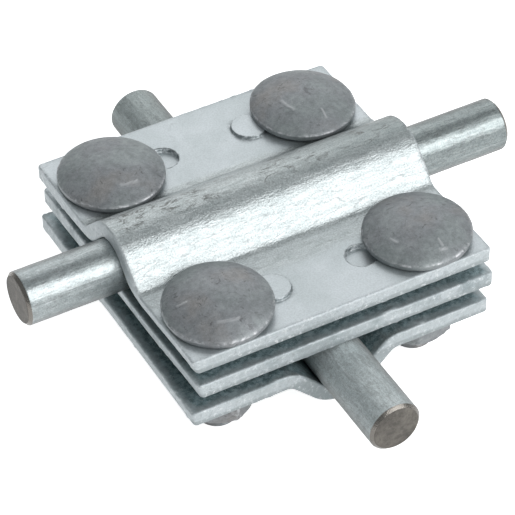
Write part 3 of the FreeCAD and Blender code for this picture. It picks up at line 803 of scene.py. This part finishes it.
def bloom(tree, place, cloud_size, grain_size):
    """The zinc's marks, with the sizes in millimetres."""
    return add_node(
        tree, "ShaderNodeGroup",
        {"Place": place, "Cloud Size": cloud_size, "Grain Size": grain_size},
        node_tree=ZINC_BLOOM,
    ).outputs


def streaks(tree, place, stretch, size):
    """The drawn marks, drawn out along the way where stretch is low."""
    return add_node(
        tree, "ShaderNodeGroup", {"Place": place, "Stretch": stretch, "Size": size},
        node_tree=DRAWN_STREAKS,
    ).outputs


def plate_zinc(name, stretch):
    """Bright dipped zinc: frosted on the flats, drawn, scored and scuffed over the channel,
    with painted shade on the back of its crest, darker where the cut edges broke and beaded
    along the outline, where the pale beads are partly painted glints. The faces that look
    into the gaps carry painted shade with pale flecks over it, and the button rims carry
    painted shade and painted glints."""
    material, tree, shader, place = new_material(name)
    marks = bloom(tree, place, 8.0, 0.30)
    run = streaks(tree, place, stretch, 0.8)
    channel, edge, crest, painted_light, torn, inner, ring = (
        attribute(tree, mask)
        for mask in ("channel", "edge", "crest", "painted_light", "torn", "inner", "ring")
    )
    flat_colour = mix(tree, marks["Clouds"], (0.55, 0.60, 0.615), (0.66, 0.705, 0.73))
    bent_colour = mix(tree, run["Streaks"], (0.46, 0.505, 0.51), (0.62, 0.665, 0.67))
    colour = mix(tree, channel, flat_colour, bent_colour)
    # Painted shade over the faces that look into the gaps between the plates: a dark teal mottle,
    # with pale flecks strewn over it.
    darkened = ramp(
        tree, marks["Mottle"], [(0.42, (0.10, 0.155, 0.165)), (0.60, (0.27, 0.365, 0.39))]
    )
    colour = mix(tree, inner, colour, darkened)
    flecks = calc(tree, "MULTIPLY", marks["Specks"], scaled(tree, inner, 0.5))
    colour = mix(tree, flecks, colour, (0.80, 0.85, 0.88))
    grain = ramp(tree, marks["Grain"], [(0.36, 0.62), (0.62, 1.0)])
    grain = mix(tree, scaled(tree, channel, 0.5, 0.35), (1.0, 1.0, 1.0), grain)
    colour = mix(tree, 1.0, colour, grain, "MULTIPLY")
    colour = mix(tree, scaled(tree, marks["Pits"], 0.35), colour, (0.27, 0.30, 0.31))
    uncrested = calc(tree, "SUBTRACT", channel, crest)
    scored = calc(tree, "MULTIPLY", run["Scores"], uncrested, clamp=True)
    colour = mix(tree, scaled(tree, scored, 0.6), colour, (0.14, 0.155, 0.16))
    patches = ramp(tree, marks["Clouds"], [(0.35, 0.15), (0.65, 0.9)])
    # Painted shade on the back half of the crest, deepening towards +X.
    colour = mix(tree, scaled(tree, painted_light, 0.45), colour, (0.17, 0.205, 0.205))
    scuffed = calc(tree, "MULTIPLY", run["Scuffs"], calc(tree, "MULTIPLY", crest, patches))
    colour = mix(tree, scuffed, colour, (0.15, 0.155, 0.15))
    colour = mix(tree, scaled(tree, torn, 0.75), colour, (0.34, 0.38, 0.39))
    # Painted shade round the button rims: a broken dark outline.
    rim_shade = ramp(tree, marks["Mottle"], [(0.46, 0.65), (0.56, 0.1)])
    rim_shade = calc(tree, "MULTIPLY", ring, rim_shade)
    colour = mix(tree, rim_shade, colour, (0.16, 0.185, 0.19))
    # Along the outline: pale zinc beads and dark smears, the pale ones partly painted glints.
    # Round the button rims both are painted light: pale painted glints and dark painted shade.
    edge_marks_and_rim_light = calc(tree, "MULTIPLY", edge, scaled(tree, marks["Clouds"], 0.7, 0.1))
    edge_marks_and_rim_light = calc(tree, "MAXIMUM", edge_marks_and_rim_light, scaled(tree, ring, 0.6))
    crumbs_and_glints = ramp(tree, marks["Mottle"], [(0.54, 0.0), (0.62, 1.0)])
    colour = mix(tree, calc(tree, "MULTIPLY", crumbs_and_glints, edge_marks_and_rim_light), colour, (0.90, 0.93, 0.94))
    smudges_and_rim_shade = ramp(tree, marks["Mottle"], [(0.38, 0.6), (0.44, 0.0)])
    colour = mix(tree, calc(tree, "MULTIPLY", smudges_and_rim_shade, edge_marks_and_rim_light), colour, (0.25, 0.285, 0.295))
    tree.links.new(colour, shader.inputs["Base Color"])
    metallic = calc(tree, "SUBTRACT", scaled(tree, edge, -0.3, 0.82), scaled(tree, inner, 0.6))
    tree.links.new(metallic, shader.inputs["Metallic"])
    rough = scaled(tree, channel, -0.10, 0.36)
    rough = calc(tree, "ADD", rough, scaled(tree, marks["Grain"], 0.14))
    rough = calc(tree, "ADD", rough, scaled(tree, edge, 0.12))
    tree.links.new(rough, shader.inputs["Roughness"])
    height = calc(tree, "MULTIPLY", marks["Height"], scaled(tree, channel, 0.9, 0.35))
    drawn = calc(tree, "MULTIPLY", run["Streaks"], scaled(tree, channel, 0.4))
    height = calc(tree, "ADD", height, drawn)
    height = calc(tree, "ADD", height, calc(tree, "MULTIPLY", crumbs_and_glints, edge_marks_and_rim_light))
    bump(tree, shader, height, 0.09, 0.7)
    return material


def bolt_zinc(name, pale, dark):
    """Dull barrel-coated steel: mottled grey with violet and brown tints, dark nicks,
    pale specks and a painted highlight on the head's rim, the nut's corners and the raised
    strokes."""
    material, tree, shader, place = new_material(name)
    marks = bloom(tree, place, 4.0, 0.35)
    rim, stroke = attribute(tree, "rim"), attribute(tree, "stroke")
    colour = mix(tree, marks["Clouds"], dark, pale)
    tint = noise(tree, place, 110.0, 6.0)
    violet = ramp(tree, tint, [(0.42, 0.0), (0.56, 0.5)])
    colour = mix(tree, violet, colour, (0.30, 0.30, 0.325))
    beige = ramp(tree, tint, [(0.56, 0.0), (0.68, 0.45)])
    colour = mix(tree, beige, colour, (0.38, 0.35, 0.325))
    nick_noise = noise(tree, place, 620.0, 3.0, 0.6, 1.4)
    nicks = ramp(tree, nick_noise, [(0.61, 0.0), (0.68, 0.6)])
    nicks = calc(tree, "MULTIPLY", nicks, ramp(tree, tint, [(0.42, 0.25), (0.58, 1.0)]))
    colour = mix(tree, nicks, colour, (0.10, 0.10, 0.105))
    colour = mix(tree, scaled(tree, marks["Pits"], 0.4), colour, (0.15, 0.15, 0.155))
    mottle = ramp(tree, marks["Mottle"], [(0.36, 0.78), (0.60, 1.0)])
    colour = mix(tree, 1.0, colour, mottle, "MULTIPLY")
    grain = ramp(tree, marks["Grain"], [(0.35, 0.86), (0.65, 1.0)])
    colour = mix(tree, 1.0, colour, grain, "MULTIPLY")
    colour = mix(tree, scaled(tree, marks["Specks"], 0.22), colour, (0.50, 0.52, 0.54))
    # Painted highlight: a broken pale line on the head's rim and the nut's corners, and pale
    # raised strokes.
    painted_light = calc(tree, "MULTIPLY", rim, scaled(tree, nick_noise, 4.0, -1.75), clamp=True)
    painted_light = calc(tree, "MAXIMUM", painted_light, stroke)
    colour = mix(tree, painted_light, colour, (0.62, 0.63, 0.65))
    tree.links.new(colour, shader.inputs["Base Color"])
    shader.inputs["Metallic"].default_value = 0.45
    rough = scaled(tree, marks["Grain"], 0.16, 0.42)
    rough = calc(tree, "SUBTRACT", rough, scaled(tree, painted_light, 0.15))
    tree.links.new(rough, shader.inputs["Roughness"])
    bump(tree, shader, marks["Height"], 0.06, 0.5)
    return material


def rod_zinc(name, stretch, pale, dark, rough_base, metal):
    """Drawn rod with a thin grainy zinc coat, with painted shade where its side turns away
    from the camera, darker towards its far end, with sawn ends of bare steel and brighter
    bevels."""
    material, tree, shader, place = new_material(name)
    marks = bloom(tree, place, 5.0, 0.26)
    run = streaks(tree, place, stretch, 0.45)
    cut, bevel, darkened = (attribute(tree, mask) for mask in ("cut", "bevel", "darkened"))
    share = scaled(tree, marks["Mottle"], 1.4, -0.35)
    share = calc(tree, "ADD", scaled(tree, run["Streaks"], 0.3), share)
    colour = mix(tree, share, dark, pale)
    colour = mix(tree, scaled(tree, run["Scuffs"], 0.3), colour, (0.22, 0.22, 0.215))
    grain = ramp(tree, marks["Grain"], [(0.36, 0.72), (0.60, 1.0)])
    colour = mix(tree, 1.0, colour, grain, "MULTIPLY")
    colour = mix(tree, scaled(tree, run["Scores"], 0.35), colour, (0.85, 0.88, 0.89))
    # Painted shade: the colour darkens where the rod's side turns away from the camera, towards
    # its outline.
    facing = add_node(tree, "ShaderNodeLayerWeight", {"Blend": 0.5}).outputs["Facing"]
    turned = ramp(tree, facing, [(0.45, (1.0, 1.0, 1.0)), (0.85, (0.62, 0.59, 0.58))])
    colour = mix(tree, 1.0, colour, turned, "MULTIPLY")
    colour = mix(tree, scaled(tree, darkened, 0.8), colour, (0.68, 0.70, 0.69), "MULTIPLY")
    steel = mix(tree, marks["Clouds"], (0.085, 0.076, 0.065), (0.20, 0.182, 0.158))
    blotches = ramp(tree, marks["Mottle"], [(0.42, 0.66), (0.58, 1.0)])
    steel = mix(tree, 1.0, steel, blotches, "MULTIPLY")
    steel = mix(tree, scaled(tree, bevel, 0.85), steel, (0.23, 0.215, 0.197))
    colour = mix(tree, cut, colour, steel)
    tree.links.new(colour, shader.inputs["Base Color"])
    bare = calc(tree, "ADD", scaled(tree, cut, 0.2 - metal, metal), scaled(tree, bevel, 0.7))
    tree.links.new(bare, shader.inputs["Metallic"])
    rough = scaled(tree, marks["Grain"], 0.10, rough_base)
    rough = calc(tree, "ADD", rough, scaled(tree, cut, 0.44 - rough_base))
    rough = calc(tree, "ADD", rough, scaled(tree, bevel, -0.24))
    tree.links.new(rough, shader.inputs["Roughness"])
    height = calc(tree, "ADD", marks["Height"], scaled(tree, run["Streaks"], 0.3))
    bump(tree, shader, height, 0.06, 0.7)
    return material


# The pieces

def channel_mask(points):
    """1 over the channel and its feet, fading out along a ragged line on the flats,
    further out in front, where the die drew the sheet."""
    ragged = 1.6 * lattice_noise(points * (0.2, 1.0, 1.0), 1.4, 53)
    ragged = ragged + 1.4 * lattice_noise(points * (0.5, 1.0, 1.0), 5.0, 57)
    back = ease(FOOT_CENTRE + 1.2, FOOT_CENTRE - 0.3, points[:, 1] + 0.2 * ragged)
    front = ease(-FOOT_CENTRE - 6.4, -FOOT_CENTRE - 1.6, points[:, 1] + ragged)
    drawn = 0.7 + 0.3 * ease(-FOOT_CENTRE - 0.2, -FOOT_CENTRE + 0.8, points[:, 1])
    end = ease(PLATE_HALF - 0.08, PLATE_HALF - 0.5, np.abs(points[:, 0]))
    return back * front * drawn * end


plate_points, plate_faces = pressed_plate_surface()
across, height = plate_points[:, 1], plate_points[:, 2]
faces_in = vertex_normals(plate_points, plate_faces)[:, 2] < -0.2
plate_masks = {
    "channel": channel_mask(plate_points),
    "edge": outline_mask(plate_points),
    "crest": ease(-3.0, -0.6, across) * ease(6.0, 7.5, height),
    # Painted shade on the back half of the crest, more so towards +X.
    "painted_light": ease(-4.0, -1.0, across) * ease(3.0, 6.0, height) * (
        ease(-4.0, 24.0, plate_points[:, 0])
    ),
    # Painted shade on the faces that look into the gaps between the plates.
    "inner": gap_shade_share(plate_points) * faces_in,
    # The button rims, which get painted shade and painted glints.
    "ring": button_rims(plate_points),
}
upper_zinc = plate_zinc("upper plate zinc", stretch=(0.22, 1.0, 1.0))
lower_zinc = plate_zinc("lower plate zinc", stretch=(1.0, 0.22, 1.0))

upper_points = plate_points + (0, 0, UPPER_AXIS)
upper_masks = {**plate_masks, "torn": torn_mask(upper_points, TOP_FACE)}
upper_points = sheared(upper_points, -PLATE_HALF, TOP_FACE, front=0.45, under=0.75)
make_piece(
    "dipped_top_plate", zinc_coat(upper_points, plate_faces, upper_masks, seed=3),
    upper_zinc, "top", "top_plate",
)

# The same pressing turned over and a quarter turn round
lower_points = plate_points[:, [1, 0, 2]] * (1, 1, -1) + (0, 0, LOWER_AXIS)
lower_runs = [(16.0, -27.3, 2.3, 0.35), (-12.5, -28.4, 2.0, 0.3)]
lower_points = add_runs(lower_points, lower_runs, BOTTOM_TOP)
lower_masks = {**plate_masks, "torn": torn_mask(lower_points, BOTTOM_TOP)}
lower_points = sheared(lower_points, -PLATE_HALF, BOTTOM_TOP, front=0.0, under=0.4)
make_piece(
    "dipped_bottom_plate", zinc_coat(lower_points, plate_faces, lower_masks, seed=11),
    lower_zinc, "lower_jaw", "bottom_plate",
)

flat_points, flat_faces = flat_plate_surface()
flat_points = flat_points + (MIDDLE_SHIFT, 0, MIDDLE_TOP)
flat_points = add_runs(flat_points, [(9.5, -28.2, 2.2, 0.3)], MIDDLE_TOP)
centred = flat_points - (MIDDLE_SHIFT, 0, 0)
plain = np.zeros(len(flat_points))
flat_masks = {
    "channel": plain, "crest": plain, "painted_light": plain, "ring": plain,
    "edge": outline_mask(centred), "torn": torn_mask(centred, MIDDLE_TOP),
    # Painted shade over both faces, which look into the gaps.
    "inner": gap_shade_share(centred),
}
flat_points = sheared(flat_points, MIDDLE_SHIFT - PLATE_HALF, MIDDLE_TOP, front=0.5, under=0.6)
make_piece(
    "dipped_middle_plate", zinc_coat(flat_points, flat_faces, flat_masks, seed=19),
    upper_zinc, "middle_jaw", "middle_plate",
)

upper_rod_zinc = rod_zinc(
    "upper rod zinc", stretch=(0.08, 1.0, 1.0), pale=(0.60, 0.65, 0.655),
    dark=(0.32, 0.36, 0.37), rough_base=0.27, metal=0.95,
)
lower_rod_zinc = rod_zinc(
    "lower rod zinc", stretch=(1.0, 0.08, 1.0), pale=(0.74, 0.80, 0.805),
    dark=(0.46, 0.51, 0.515), rough_base=0.46, metal=0.4,
)
points, faces, masks = rod_surface(UPPER_ROD_LENGTH, seed=31)
points = points + (UPPER_ROD_SHIFT, 0, UPPER_AXIS)
make_piece(
    "drawn_upper_rod", (points, faces, masks), upper_rod_zinc,
    "upper_conductor", "upper_conductor",
)
points, faces, masks = rod_surface(LOWER_ROD_LENGTH, seed=37)
points = points[:, [1, 0, 2]] * (-1, 1, 1) + (0, LOWER_ROD_SHIFT, LOWER_AXIS)
make_piece(
    "drawn_lower_rod", (points, faces, masks), lower_rod_zinc,
    "lower_conductor", "lower_conductor",
)

head_zinc = bolt_zinc("bolt zinc", pale=(0.385, 0.42, 0.425), dark=(0.28, 0.31, 0.315))
nut_zinc = bolt_zinc("nut zinc", pale=(0.42, 0.45, 0.455), dark=(0.25, 0.275, 0.28))

# Each bolt's side in X and Y, its nut's turn, its head's shift and tilt, and the strokes
# on the head: their place in X and Y, lean, half length and height. Angles are in degrees.
CORNERS = {
    "back_left": (-1, 1, 12, (0.4, -0.42), (1.2, 0.0), [(0.6, -6.1, -3, 2.0, 0.11)]),
    "back_right": (
        1, 1, 41, (-0.25, -0.25), (1.0, 1.2),
        [(-4.3, -1.7, -74, 2.0, 0.10), (1.0, -6.2, 88, 1.1, 0.09)],
    ),
    "front_left": (
        -1, -1, 32, (0.64, -0.1), (3.5, -2.5),
        [(-6.3, 1.2, -12, 1.0, 0.11), (-1.1, -6.1, -12, 2.3, 0.10)],
    ),
    "front_right": (
        1, -1, 7, (0.0, -0.45), (0.5, -1.5),
        [(-6.1, -2.0, -67, 1.0, 0.09), (0.8, -6.4, -87, 0.9, 0.10), (0.6, -7.7, -10, 0.9, 0.10)],
    ),
}
for number, (corner, stance) in enumerate(CORNERS.items()):
    side_x, side_y, nut_turn, shift, tilt, strokes = stance
    axis_x, axis_y = side_x * BOLT_OFFSET, side_y * BOLT_OFFSET
    points, faces, masks = bolt_surface(strokes, seed=41 + number)
    points = seat_head(points, shift, tilt) + (axis_x, axis_y, TOP_FACE)
    make_piece(
        f"domed_bolt_{corner}", (points, faces, masks), head_zinc,
        "top", f"bolt_{corner}",
    )
    points, faces, masks = nut_surface(nut_turn, seed=61 + number)
    points = points + (axis_x, axis_y, NUT_TOP)
    make_piece(
        f"crowned_nut_{corner}", (points, faces, masks), nut_zinc,
        f"nut_{corner}", f"nut_{corner}",
    )


# Floor, light and camera

def backdrop_material():
    """Pale floor that is plain white to the camera, with the object's shadow kept, and
    paler in reflections than its light makes it, most so to the left."""
    material, tree, shader, place = new_material("pale floor")
    shader.inputs["Base Color"].default_value = (0.9, 0.9, 0.9, 1)
    shader.inputs["Roughness"].default_value = 0.9
    rays = add_node(tree, "ShaderNodeLightPath").outputs
    along = add_node(tree, "ShaderNodeSeparateXYZ", {"Vector": place}).outputs["X"]
    paler = ramp(tree, scaled(tree, along, 10.0, 0.5), [(0.05, 0.60), (0.35, 0.42)])
    glow = calc(tree, "MULTIPLY", rays["Is Glossy Ray"], paler)
    glow = calc(tree, "ADD", glow, calc(tree, "MULTIPLY", rays["Is Camera Ray"], 0.8))
    tree.links.new(glow, shader.inputs["Emission Strength"])
    shader.inputs["Emission Color"].default_value = (1, 1, 1, 1)
    return material


# Half the floor's width, in metres
FLOOR_REACH = 1.6

floor_mesh = bpy.data.meshes.new("floor")
floor_mesh.from_pydata(
    [(x * FLOOR_REACH, y * FLOOR_REACH, 0) for x, y in ((-1, -1), (1, -1), (1, 1), (-1, 1))],
    [], [(0, 1, 2, 3)],
)
floor_mesh.materials.append(backdrop_material())
floor = bpy.data.objects.new("floor", floor_mesh)
bpy.context.scene.collection.objects.link(floor)


def studio_world():
    """Dim pale light from all round, seen as plain white past the floor's edge."""
    world = bpy.data.worlds.new("studio")
    world.use_nodes = True
    tree = world.node_tree
    sky = tree.nodes["Background"]
    seen = add_node(tree, "ShaderNodeLightPath").outputs["Is Camera Ray"]
    tree.links.new(mix(tree, seen, (0.93, 0.98, 1.0), (1.0, 1.0, 1.0)), sky.inputs["Color"])
    tree.links.new(scaled(tree, seen, 0.65, 0.35), sky.inputs["Strength"])
    return world


bpy.context.scene.world = studio_world()

AIM_HEIGHT = 17.0


def soft_lamp(name, direction, distance, width, height, power):
    """A rectangular soft lamp that faces the clamp from this direction, with its
    distance and size in metres and its power in watts."""
    lamp = bpy.data.lights.new(name, "AREA")
    lamp.shape = "RECTANGLE"
    lamp.size, lamp.size_y = width, height
    lamp.energy = power
    piece = bpy.data.objects.new(name, lamp)
    way = Vector(direction).normalized()
    piece.location = way * distance + Vector((0, 0, AIM_HEIGHT * MM))
    piece.rotation_euler = way.to_track_quat("Z", "Y").to_euler()
    bpy.context.scene.collection.objects.link(piece)


soft_lamp(
    "front_softbox", (0.353, -0.72, 0.60), distance=0.9, width=1.0, height=0.66, power=6.2
)
soft_lamp(
    "back_softbox", (0.353, 0.74, 0.57), distance=1.0, width=1.1, height=0.95, power=3.1
)

# The camera's angles in degrees, its distance and shifts in millimetres
CAMERA_TURN = -28.511
CAMERA_RISE = 42.2
CAMERA_DISTANCE = 511.2
FOCAL_PIXELS = 2822.9
SHIFT_ACROSS = 0.594
SHIFT_UP = 3.376
CAMERA_ROLL = -0.612
IMAGE_PIXELS = 515

turn, rise, roll = (math.radians(v) for v in (CAMERA_TURN, CAMERA_RISE, CAMERA_ROLL))
back = Vector((math.sin(turn) * math.cos(rise), -math.cos(turn) * math.cos(rise), math.sin(rise)))
right = Vector((math.cos(turn), math.sin(turn), 0))
up = back.cross(right)
aim = Vector((0, 0, AIM_HEIGHT)) - right * SHIFT_ACROSS - up * SHIFT_UP
eye = (aim + back * CAMERA_DISTANCE) * MM
rolled_right = right * math.cos(roll) + up * math.sin(roll)
rolled_up = up * math.cos(roll) - right * math.sin(roll)
lens = bpy.data.cameras.new("camera")
lens.sensor_width = 36.0
lens.lens = FOCAL_PIXELS / IMAGE_PIXELS * lens.sensor_width
lens.clip_start = 0.01
camera = bpy.data.objects.new("camera", lens)
camera.matrix_world = Matrix.Translation(eye) @ Matrix(
    (rolled_right, rolled_up, back)
).transposed().to_4x4()
bpy.context.scene.collection.objects.link(camera)
bpy.context.scene.camera = camera
bpy.context.scene.view_settings.view_transform = "Standard"
